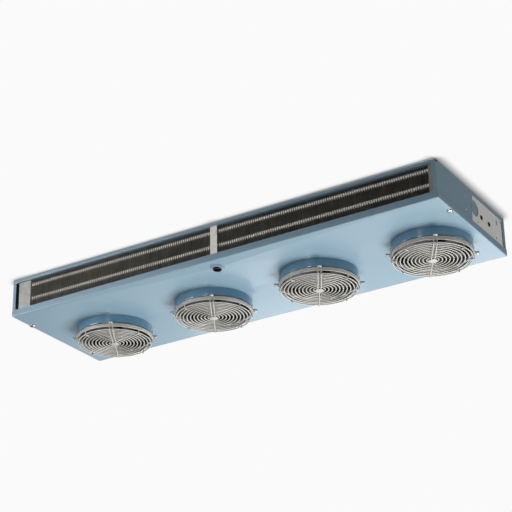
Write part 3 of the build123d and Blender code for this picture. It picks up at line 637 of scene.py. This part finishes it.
# %% The wires of one guard
WIRE, SPOKE = 1.85 * mm, 1.7 * mm
WELD = 0.5 * mm
FACE_RINGS = [(110.3 - 10.4 * n) * mm for n in range(10)]
SIDE_RINGS = [((114.4 - 0.5 * n) * mm, (-147.4 - 3.5 * n) * mm) for n in range(3)]
BIG_RING, BIG_RING_STEPS, SMALL_RING_STEPS = 50 * mm, 96, 60
SPOKE_START, SPOKE_PAIR = 12 * mm, 4.5 * mm
RIB, RIB_SHORTER, RIB_BEND = 112.8 * mm, 2 * mm, 3.0 * mm
EYE, EYE_LOOP, EYE_STEPS = 124.0 * mm, 3.9 * mm, 8
PAIR_TURN, SINGLE_TURN = -60, 120
EYE_TURNS, RIB_TURNS = (30, 210), (-15, 75, 165, 255)
spoke_height = guard_low.z + SPOKE
face_height = spoke_height + SPOKE + WIRE - WELD
eye_height = guard_high.z - WIRE


def turned(points, degrees):
    """The points turned about the fan's axis."""
    turn = Matrix.Rotation(math.radians(degrees), 3, "Z")
    return [turn @ Vector(point) for point in points]


def rounded(points, radius, steps=5):
    """A line of points with its corners rounded."""
    points = [Vector(point) for point in points]
    line = [points[0]]
    for before, corner, after in zip(points, points[1:], points[2:]):
        to_before, to_after = (before - corner).normalized(), (after - corner).normalized()
        start, end = corner + to_before * radius, corner + to_after * radius
        for step in range(steps + 1):
            t = step / steps
            line.append((1 - t) ** 2 * start + 2 * t * (1 - t) * corner + t**2 * end)
    line.append(points[-1])
    return line


def rib(inner_end):
    """A wire that lies along the face from its inner end and turns up the side."""
    bend, top = (RIB, 0, spoke_height), (RIB, 0, eye_height - RIB_SHORTER)
    return rounded([(inner_end, 0, spoke_height), bend, top], RIB_BEND)


def eye_loop(half_gap, inner_end):
    """A hairpin: out along the face, up the side, round the screw and back the same way."""
    out = [(inner_end, half_gap, spoke_height), (RIB, half_gap, spoke_height), (RIB, half_gap, eye_height)]
    side = rounded(out + [(EYE, half_gap, eye_height)], RIB_BEND)[:-1]
    turn = []
    for step in range(EYE_STEPS + 1):
        angle = math.pi / 2 - math.pi * step / EYE_STEPS
        turn.append(Vector((EYE + half_gap * math.cos(angle), half_gap * math.sin(angle), eye_height)))
    back = [Vector((p.x, -p.y, p.z)) for p in reversed(side)]
    return side + turn + back


def build_guard():
    """All wires of a guard, about the origin."""
    shaped = bmesh.new()
    for radius in FACE_RINGS:
        steps = BIG_RING_STEPS if radius > BIG_RING else SMALL_RING_STEPS
        wire(shaped, circle_points(radius, face_height, steps), WIRE, closed=True)
    for radius, height in SIDE_RINGS:
        wire(shaped, circle_points(radius, height, BIG_RING_STEPS), WIRE, closed=True)
    wire(shaped, turned(eye_loop(SPOKE_PAIR, SPOKE_START), PAIR_TURN), SPOKE)
    for angle in EYE_TURNS:
        wire(shaped, turned(eye_loop(EYE_LOOP, FACE_RINGS[1]), angle), WIRE)
    wire(shaped, turned(rib(SPOKE_START), SINGLE_TURN), SPOKE)
    lowest_side_ring = SIDE_RINGS[-1][1]
    last_eye = turned(eye_loop(EYE_LOOP, FACE_RINGS[0]), SINGLE_TURN)
    wire(shaped, [point for point in last_eye if point.z > lowest_side_ring], WIRE)
    for angle in RIB_TURNS:
        wire(shaped, turned(rib(FACE_RINGS[1]), angle), WIRE)
    return shaped


guard_shape = build_guard()
print("one guard has", len(guard_shape.faces), "faces of wire")

# %% [markdown]
# The hub plate is a small pressed disc with a rolled rim, welded under the spokes. Its profile is
# turned about the fan's axis like work on a lathe.

# %% Turn the hub plate and finish the guards
HUB_PLATE = [(0.1, 0), (10.8, 0), (12.4, 0.3), (13.2, 1.2), (12.8, 2.4), (11.8, 2.2), (10.2, 1.2), (0.1, 1.2)]
HUB_PLATE_DROP = 0.6 * mm
HUB_PLATE_REACH = 13.5 * mm


def lathe(shaped, profile, base, steps):
    """Turns a profile of (radius, height) points in millimetres, above a base, about the Z axis."""
    rows = []
    for n in range(steps):
        turn = 2 * math.pi * n / steps
        row = []
        for radius, height in profile:
            x, y = radius * mm * math.cos(turn), radius * mm * math.sin(turn)
            row.append(shaped.verts.new((x, y, base + height * mm)))
        rows.append(row)
    for a, b in zip(rows, rows[1:] + rows[:1]):
        for s in range(len(profile) - 1):
            shaped.faces.new((a[s], b[s], b[s + 1], a[s + 1]))


lathe(guard_shape, HUB_PLATE, guard_low.z - HUB_PLATE_DROP, steps=48)
guard_piece = mesh_piece("guard_1", guard_shape, guard_wire, fan_centres[1])
guard_piece.data.materials.append(hub_plate_metal)
for face in guard_piece.data.polygons:
    if face.center.to_2d().length < HUB_PLATE_REACH:
        face.material_index = 1
repeat_at_fans(guard_piece, "guard", "fan_guard")

# %% [markdown]
# ## Rivets, dimples and the dark strip at the plate's edge
#
# Two bright rivets and two pressed dimples sit on the right end panel. They stand about a
# millimetre proud, enough to catch the light, so each one is a low dome on the panel's face.

# %% Raise the rivets and the dimples
RIVETS = ((-37.8, -33.9), (-38.8, -76.3))
DIMPLES = ((-45.7, -63.3), (-26.0, -89.8))
MARK_SUNK = 0.1 * mm
end_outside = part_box("right_end_panel")[1].x


def dome(shaped, centre, radius, rise, rings=5, sides=20):
    """A low dome that bulges towards +X."""
    top = shaped.verts.new(centre + Vector((rise, 0, 0)))
    last = None
    for ring in range(1, rings + 1):
        share = ring / rings
        height = rise * (1 + math.cos(math.pi * share)) / 2
        row = []
        for side in range(sides):
            turn = 2 * math.pi * side / sides
            across = Vector((0, math.cos(turn), math.sin(turn))) * radius * share
            row.append(shaped.verts.new(centre + Vector((height, 0, 0)) + across))
        if last:
            bridge(shaped, last, row)
        else:
            for side in range(sides):
                shaped.faces.new((top, row[side], row[(side + 1) % sides]))
        last = row


def end_marks(name, places, radius, rise, material):
    """Low domes at (y, z) places on the right end panel; all sizes are in millimetres."""
    shape = bmesh.new()
    for y, z in places:
        dome(shape, Vector((end_outside - MARK_SUNK, y * mm, z * mm)), radius * mm, rise * mm)
    marks = mesh_piece(name, shape, material)
    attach(marks, "casing")


end_marks("end_rivets", RIVETS, 2.7, 1.3, plated_steel)
end_marks("end_dimples", DIMPLES, 2.2, 1.0, blue_enamel)
print("raised", len(RIVETS), "rivets and", len(DIMPLES), "dimples")

# %% [markdown]
# A dark strip along the rear edge of the service plate is painted shade, standing for the shadowed
# gap there. It is a plain bar with its edges rounded, and its length and place follow from the plate.

# %% Lay the dark strip of painted shade
SHADOW_STRIP_THICKNESS, SHADOW_STRIP_WIDTH, SHADOW_STRIP_ROUNDING = 1.2 * mm, 3.4 * mm, 0.4 * mm
SHADOW_STRIP_SHORTER, SHADOW_STRIP_INSET, SHADOW_STRIP_DROP = 6 * mm, 3.2 * mm, 1 * mm
plate_low, plate_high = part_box("service_plate")
shadow_strip_size = Vector((SHADOW_STRIP_THICKNESS, SHADOW_STRIP_WIDTH, plate_high.z - plate_low.z - SHADOW_STRIP_SHORTER))
shadow_strip_height = (plate_low.z + plate_high.z) / 2 - SHADOW_STRIP_DROP
shadow_strip_centre = Vector((plate_high.x, plate_high.y - SHADOW_STRIP_INSET, shadow_strip_height))
shadow_strip_shape = bmesh.new()
bmesh.ops.create_cube(shadow_strip_shape, size=1.0)
for vert in shadow_strip_shape.verts:
    vert.co = Vector(a * b for a, b in zip(vert.co, shadow_strip_size)) + shadow_strip_centre
bmesh.ops.bevel(
    shadow_strip_shape, geom=shadow_strip_shape.edges[:], offset=SHADOW_STRIP_ROUNDING, segments=2, affect="EDGES"
)
# Painted shade: a dark bar put in the shadowed gap at the plate's rear edge.
shadow_strip = mesh_piece("plate_shadow_strip", shadow_strip_shape, grommet_rubber)
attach(shadow_strip, "casing")
print("shadow_strip", [round(v / mm, 1) for v in shadow_strip_size], "mm")

# %% [markdown]
# ## Impellers
#
# The blades are pressed from thin sheet, so each one is a curved surface with an even thickness:
# twisted more steeply at the hub than at the tip, swept forward, with a rounded tip. A grid of
# points follows that law, and a solidify step gives the sheet its thickness. The hub is a deep cup
# with a boss for the shaft, turned like the hub plate.

# %% Build one impeller
BLADES = 5
BLADE_ROOT, BLADE_TIP = 24.5 * mm, 98.0 * mm
BLADE_SHEET = 1.3 * mm
BLADE_ROWS, BLADE_COLUMNS = 14, 12
HALF_CHORD = (0.58, 0.32, -0.10)  # radians at the root, and its change with the reach and its cube
TIP_ROUNDING, ROUNDED_FROM = 0.35, 0.85
TRAILING_SHARE = 0.85
SWEEP = 0.10
ROOT_PITCH, TIP_PITCH = 34, 20
FLATTENING = 0.62
CAMBER = 3.2 * mm
HALF_HEIGHT = 10.8 * mm
LIFT = 1.2 * mm
HUB = [
    (0.1, 0), (19, 0), (23.5, 1.2), (25.6, 4.5), (26, 8), (26, 22),
    (23.5, 22), (23.5, 6), (9, 3), (9, 19), (4.1, 19),
]
blade_low, blade_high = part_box("impeller_1")
blade_mid = (blade_low.z + blade_high.z) / 2


def blade_point(along, across):
    """A point of the blade: along from root to tip and across from its trailing to its leading edge."""
    radius = BLADE_ROOT + (BLADE_TIP - BLADE_ROOT) * along
    at_root, growth, easing = HALF_CHORD
    beyond = max(0, along - ROUNDED_FROM) / (1 - ROUNDED_FROM)
    half_chord = (at_root + growth * along + easing * along**3) * (1 - TIP_ROUNDING * beyond)
    sweep = SWEEP * math.sin(math.pi * along / 2)
    angle = sweep + across * half_chord * (TRAILING_SHARE if across < 0 else 1.0)
    pitch = math.radians(ROOT_PITCH + (TIP_PITCH - ROOT_PITCH) * along)
    rise = across * half_chord * radius * math.tan(pitch) * FLATTENING
    height = max(-HALF_HEIGHT, min(HALF_HEIGHT, rise)) - CAMBER * (1 - across**2) + LIFT
    return Vector((radius * math.cos(angle), radius * math.sin(angle), blade_mid + height))


def build_impeller():
    """Five blades and their hub, about the origin."""
    shaped = bmesh.new()
    for blade in range(BLADES):
        turn = Matrix.Rotation(2 * math.pi * blade / BLADES, 3, "Z")
        grid = []
        for r in range(BLADE_ROWS + 1):
            spread = [2 * c / BLADE_COLUMNS - 1 for c in range(BLADE_COLUMNS + 1)]
            grid.append([shaped.verts.new(turn @ blade_point(r / BLADE_ROWS, across)) for across in spread])
        for r in range(BLADE_ROWS):
            for c in range(BLADE_COLUMNS):
                shaped.faces.new((grid[r][c], grid[r][c + 1], grid[r + 1][c + 1], grid[r + 1][c]))
    bmesh.ops.recalc_face_normals(shaped, faces=shaped.faces)
    bmesh.ops.solidify(shaped, geom=shaped.faces[:], thickness=BLADE_SHEET)
    lathe(shaped, HUB, blade_low.z, steps=64)
    return shaped


impeller_piece = mesh_piece("blades_1", build_impeller(), blade_paint, fan_centres[1])
repeat_at_fans(impeller_piece, "blades", "impeller")
print("impeller faces", len(impeller_piece.data.polygons))

# %% [markdown]
# ## The finned coil
#
# From the front the coil is a dark comb, its fins darkened as painted shade. Each fin is drawn out
# into a short collar round every tube, and the collars, made near-white as a painted highlight, read
# as two beaded lines, with a dimmer one from the second row of tubes between them. The fins are as
# many as the solid ones. Only the four tubes that can be seen from the front get their collars.

# %% Build the fin packs
FIN_PITCH, FIN_HALF, FIN_END = 7 * mm, 0.1 * mm, 1 * mm
FIN_FOLDS, FIN_RUFFLE = 6, 0.25 * mm
TUBE = 4.76 * mm
FIRST_ROW, SECOND_ROW = -202.5 * mm, -183.45 * mm
TUBE_LEVELS = [(-21.0 - 22.3 * n) * mm for n in range(4)]
VISIBLE_TUBES = [(FIRST_ROW, z) for z in TUBE_LEVELS[0::2]] + [(SECOND_ROW, z) for z in TUBE_LEVELS[1::2]]
COLLAR_SIDES, COLLAR_SHARE = 14, 0.94
COLLAR = ((0.0, 1.6 * mm), (0.2, 0.7 * mm), (1.0, 0.3 * mm))  # share of its length, height over the tube


def ruffled_fin(shaped, x, low, high):
    """One fin: a thin closed sheet, bent a little from side to side."""
    corners = ((-FIN_HALF, low.z), (-FIN_HALF, high.z), (FIN_HALF, high.z), (FIN_HALF, low.z))
    sections = []
    for fold in range(FIN_FOLDS + 1):
        y = low.y + (high.y - low.y) * fold / FIN_FOLDS
        middle = x + (FIN_RUFFLE if fold % 2 else -FIN_RUFFLE)
        sections.append([shaped.verts.new((middle + half, y, z)) for half, z in corners])
    for a, b in zip(sections, sections[1:]):
        bridge(shaped, a, b)
    shaped.faces.new(sections[0])
    shaped.faces.new(list(reversed(sections[-1])))


def tube_collar(shaped, x, y, z, length):
    """A short flared collar round a tube."""
    rings = []
    for share, over in COLLAR:
        ring = []
        for side in range(COLLAR_SIDES):
            turn = 2 * math.pi * side / COLLAR_SIDES
            across, up = (TUBE + over) * math.cos(turn), (TUBE + over) * math.sin(turn)
            ring.append(shaped.verts.new((x + share * length, y + across, z + up)))
        rings.append(ring)
    for a, b in zip(rings, rings[1:]):
        bridge(shaped, a, b)


for side in ("left", "right"):
    low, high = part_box(f"fin_pack_{side}")
    gaps = int((high.x - low.x) // FIN_PITCH)
    spacing = (high.x - low.x - 2 * FIN_END) / gaps
    fins = bmesh.new()
    collars = bmesh.new()
    for n in range(gaps + 1):
        x = low.x + FIN_END + n * spacing
        ruffled_fin(fins, x, low, high)
        if n < gaps:
            for y, z in VISIBLE_TUBES:
                tube_collar(collars, x, y, z, COLLAR_SHARE * spacing)
    settle(mesh_piece(f"fins_{side}", fins, fin_aluminium_painted_shade), f"fin_pack_{side}")
    beads = mesh_piece(f"collars_{side}", collars, collar_aluminium_painted_highlight)
    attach(beads, "casing")
    print(side, "pack:", gaps + 1, "fins")

# %% [markdown]
# ## Stage, light and camera
#
# The cooler hangs from a white ceiling, so the camera stands below and looks up at both. The
# ceiling is only there for the camera's eye: it glows white, with a painted shadow that darkens it
# softly where the cooler comes close to it, and from above it can be seen through.

# %% Ceiling
STAGE_REACH = 9.0
CEILING_GAP = 2 * mm
PAPER_WHITE = 0.955
SHADE_REACH = 0.04


def flat_sheet(name, height, facing, material):
    """A large level sheet that isn't part of the cooler."""
    shape = bmesh.new()
    bmesh.ops.create_grid(shape, x_segments=1, y_segments=1, size=STAGE_REACH)
    if facing < 0:
        bmesh.ops.reverse_faces(shape, faces=shape.faces)
    mesh = bpy.data.meshes.new(name)
    shape.to_mesh(mesh)
    shape.free()
    mesh.materials.append(material)
    sheet = bpy.data.objects.new(name, mesh)
    sheet.location.z = height
    bpy.context.scene.collection.objects.link(sheet)
    print(name, "at", height, "m")


def make_ceiling_white():
    """White to the camera from below, with a painted shadow beside the cooler, and clear otherwise."""
    material = bpy.data.materials.new("ceiling_white")
    material.use_nodes = True
    tree = material.node_tree
    tree.nodes.remove(tree.nodes["Principled BSDF"])
    # Painted shadow: ambient occlusion darkens the ceiling's glow near the cooler.
    painted_shadow_nearness = add_node(tree, "ShaderNodeAmbientOcclusion", {"samples": 24}, Distance=SHADE_REACH)
    tone = add_node(
        tree, "ShaderNodeMapRange", From_Min=0.5, From_Max=0.9, To_Min=0.25, To_Max=PAPER_WHITE
    )
    glow = tree.nodes.new("ShaderNodeEmission")
    clear = tree.nodes.new("ShaderNodeBsdfTransparent")
    rays = tree.nodes.new("ShaderNodeLightPath")
    side = tree.nodes.new("ShaderNodeNewGeometry")
    seen = add_node(tree, "ShaderNodeMath", {"operation": "SUBTRACT", "use_clamp": True})
    blend = tree.nodes.new("ShaderNodeMixShader")
    link = tree.links.new
    link(painted_shadow_nearness.outputs["AO"], tone.inputs["Value"])
    link(tone.outputs["Result"], glow.inputs["Color"])
    link(rays.outputs["Is Camera Ray"], seen.inputs[0])
    link(side.outputs["Backfacing"], seen.inputs[1])
    link(seen.outputs[0], blend.inputs[0])
    link(clear.outputs[0], blend.inputs[1])
    link(glow.outputs[0], blend.inputs[2])
    link(blend.outputs[0], tree.nodes["Material Output"].inputs["Surface"])
    return material


flat_sheet("ceiling", CEILING_GAP, -1, make_ceiling_white())

# %% [markdown]
# The floor is far below the cooler. A camera that looks down sees it as a pale plain sheet, but the
# light that it sends back up stays that of an ordinary grey floor.

# %% Floor
FLOOR_HEIGHT = -2.9
FLOOR_GLOW, GLOW_SHARE = 0.86, 0.75


def make_floor_pale():
    """Grey paint that mostly glows to the camera."""
    material = finish(
        "floor_paint", (0.70, 0.70, 0.70), (0.66, 0.66, 0.66), (0.6, 0.7), cloud=0.8, contrast=1.0
    )
    tree = material.node_tree
    glow = add_node(tree, "ShaderNodeEmission", Strength=FLOOR_GLOW)
    rays = tree.nodes.new("ShaderNodeLightPath")
    share = add_node(tree, "ShaderNodeMath", {"operation": "MULTIPLY"})
    share.inputs[1].default_value = GLOW_SHARE
    blend = tree.nodes.new("ShaderNodeMixShader")
    link = tree.links.new
    link(rays.outputs["Is Camera Ray"], share.inputs[0])
    link(share.outputs[0], blend.inputs[0])
    link(tree.nodes["Principled BSDF"].outputs[0], blend.inputs[1])
    link(glow.outputs[0], blend.inputs[2])
    link(blend.outputs[0], tree.nodes["Material Output"].inputs["Surface"])
    return material


flat_sheet("floor", FLOOR_HEIGHT, 1, make_floor_pale())

# %% [markdown]
# The world round the stage does two jobs. To the camera it is the white of the paper, and to the
# cooler it is a weak, slightly cool light that keeps the shadows open.

# %% World
SKY_COLOUR, SKY_STRENGTH = (0.96, 0.97, 0.98, 1.0), 0.2
world = bpy.data.worlds.new("pale surround")
bpy.context.scene.world = world
world.use_nodes = True
sky = world.node_tree
sky_back = sky.nodes["Background"]
sky_back.inputs["Color"].default_value = SKY_COLOUR
sky_back.inputs["Strength"].default_value = SKY_STRENGTH
seen = add_node(sky, "ShaderNodeBackground", Strength=1.0)
seen.inputs["Color"].default_value = (PAPER_WHITE, PAPER_WHITE, PAPER_WHITE, 1.0)
rays = sky.nodes.new("ShaderNodeLightPath")
blend = sky.nodes.new("ShaderNodeMixShader")
sky.links.new(rays.outputs["Is Camera Ray"], blend.inputs[0])
sky.links.new(sky_back.outputs[0], blend.inputs[1])
sky.links.new(seen.outputs[0], blend.inputs[2])
sky.links.new(blend.outputs[0], sky.nodes["World Output"].inputs["Surface"])
print("world:", world.name)

# %% [markdown]
# The lamps copy a studio. A big one below lights the pan and the guards, and weak ones at the
# front and sides open up the coil and the ends. Low lamps behind the cooler are seen mirrored in
# the pan: a long one gives the broad sheen, and two small ones give the brighter patches.

# %% Lamps
def lamp(name, place, aim, width, height, power, spread=180):
    """A soft lamp with straight sides, in metres and watts; a smaller spread narrows its beam."""
    data = bpy.data.lights.new(name, "AREA")
    data.shape = "RECTANGLE"
    data.size = width
    data.size_y = height
    data.energy = power
    data.spread = math.radians(spread)
    thing = bpy.data.objects.new(name, data)
    thing.location = place
    thing.rotation_euler = (Vector(aim) - Vector(place)).to_track_quat("-Z", "Y").to_euler()
    bpy.context.scene.collection.objects.link(thing)


lamp("key_below", (0.6, 1.0, -2.4), (0.1, 0, -0.1), width=2.0, height=2.0, power=94)
lamp("fill_front_left", (-1.2, -1.3, -0.12), (-0.4, 0, -0.06), width=0.7, height=0.7, power=2.4, spread=70)
lamp("side_right", (2.6, 0.5, -0.5), (0.7, 0, -0.06), width=1.2, height=1.2, power=10)
lamp("pan_sheen", (-0.9, 2.6, -1.25), (0, 0, -0.1), width=3.2, height=1.2, power=8)
lamp("pan_gleam_left", (-0.9, 1.7, -0.70), (0, 0, -0.1), width=0.7, height=0.5, power=1.9)
lamp("pan_gleam_right", (0.05, 1.85, -0.76), (0.6, 0.1, -0.1), width=0.4, height=0.5, power=1.6)
lamp("soft_above", (0.0, 1.0, 2.6), (0, 0, 0), width=2.4, height=2.4, power=95)
lamp("glint_front", (0.3, -2.9, -1.1), (-0.1, -0.2, -0.05), width=0.5, height=0.5, power=18)
print(len(bpy.data.lights), "lamps")

# %% [markdown]
# The camera was fitted to the corners of the casing and the outlines of the four guards in the
# photograph. Its place and its three directions are the result of that fit, so that the picture
# falls on the photograph.

# %% Camera
VIEW_FROM = Vector((2.34065, -3.83216, -2.11264))
VIEW_RIGHT = Vector((0.85050497, 0.52564035, -0.01853416))
VIEW_DOWN = Vector((-0.23682452, 0.3512507, -0.90583503))
VIEW_AHEAD = Vector((-0.4696333, 0.77480654, 0.42322499))
SENSOR, LENS = 36.0, 118.99
FAR_END = 60.0
camera_data = bpy.data.cameras.new("camera")
camera_data.sensor_width = SENSOR
camera_data.lens = LENS
camera_data.clip_end = FAR_END
camera = bpy.data.objects.new("camera", camera_data)
facing = Matrix((VIEW_RIGHT, -VIEW_DOWN, -VIEW_AHEAD)).transposed().to_4x4()
camera.matrix_world = Matrix.Translation(VIEW_FROM) @ facing
bpy.context.scene.collection.objects.link(camera)
bpy.context.scene.camera = camera
bpy.context.scene.view_settings.view_transform = "Standard"
print("camera", round(VIEW_FROM.length, 2), "m from the middle of the top")
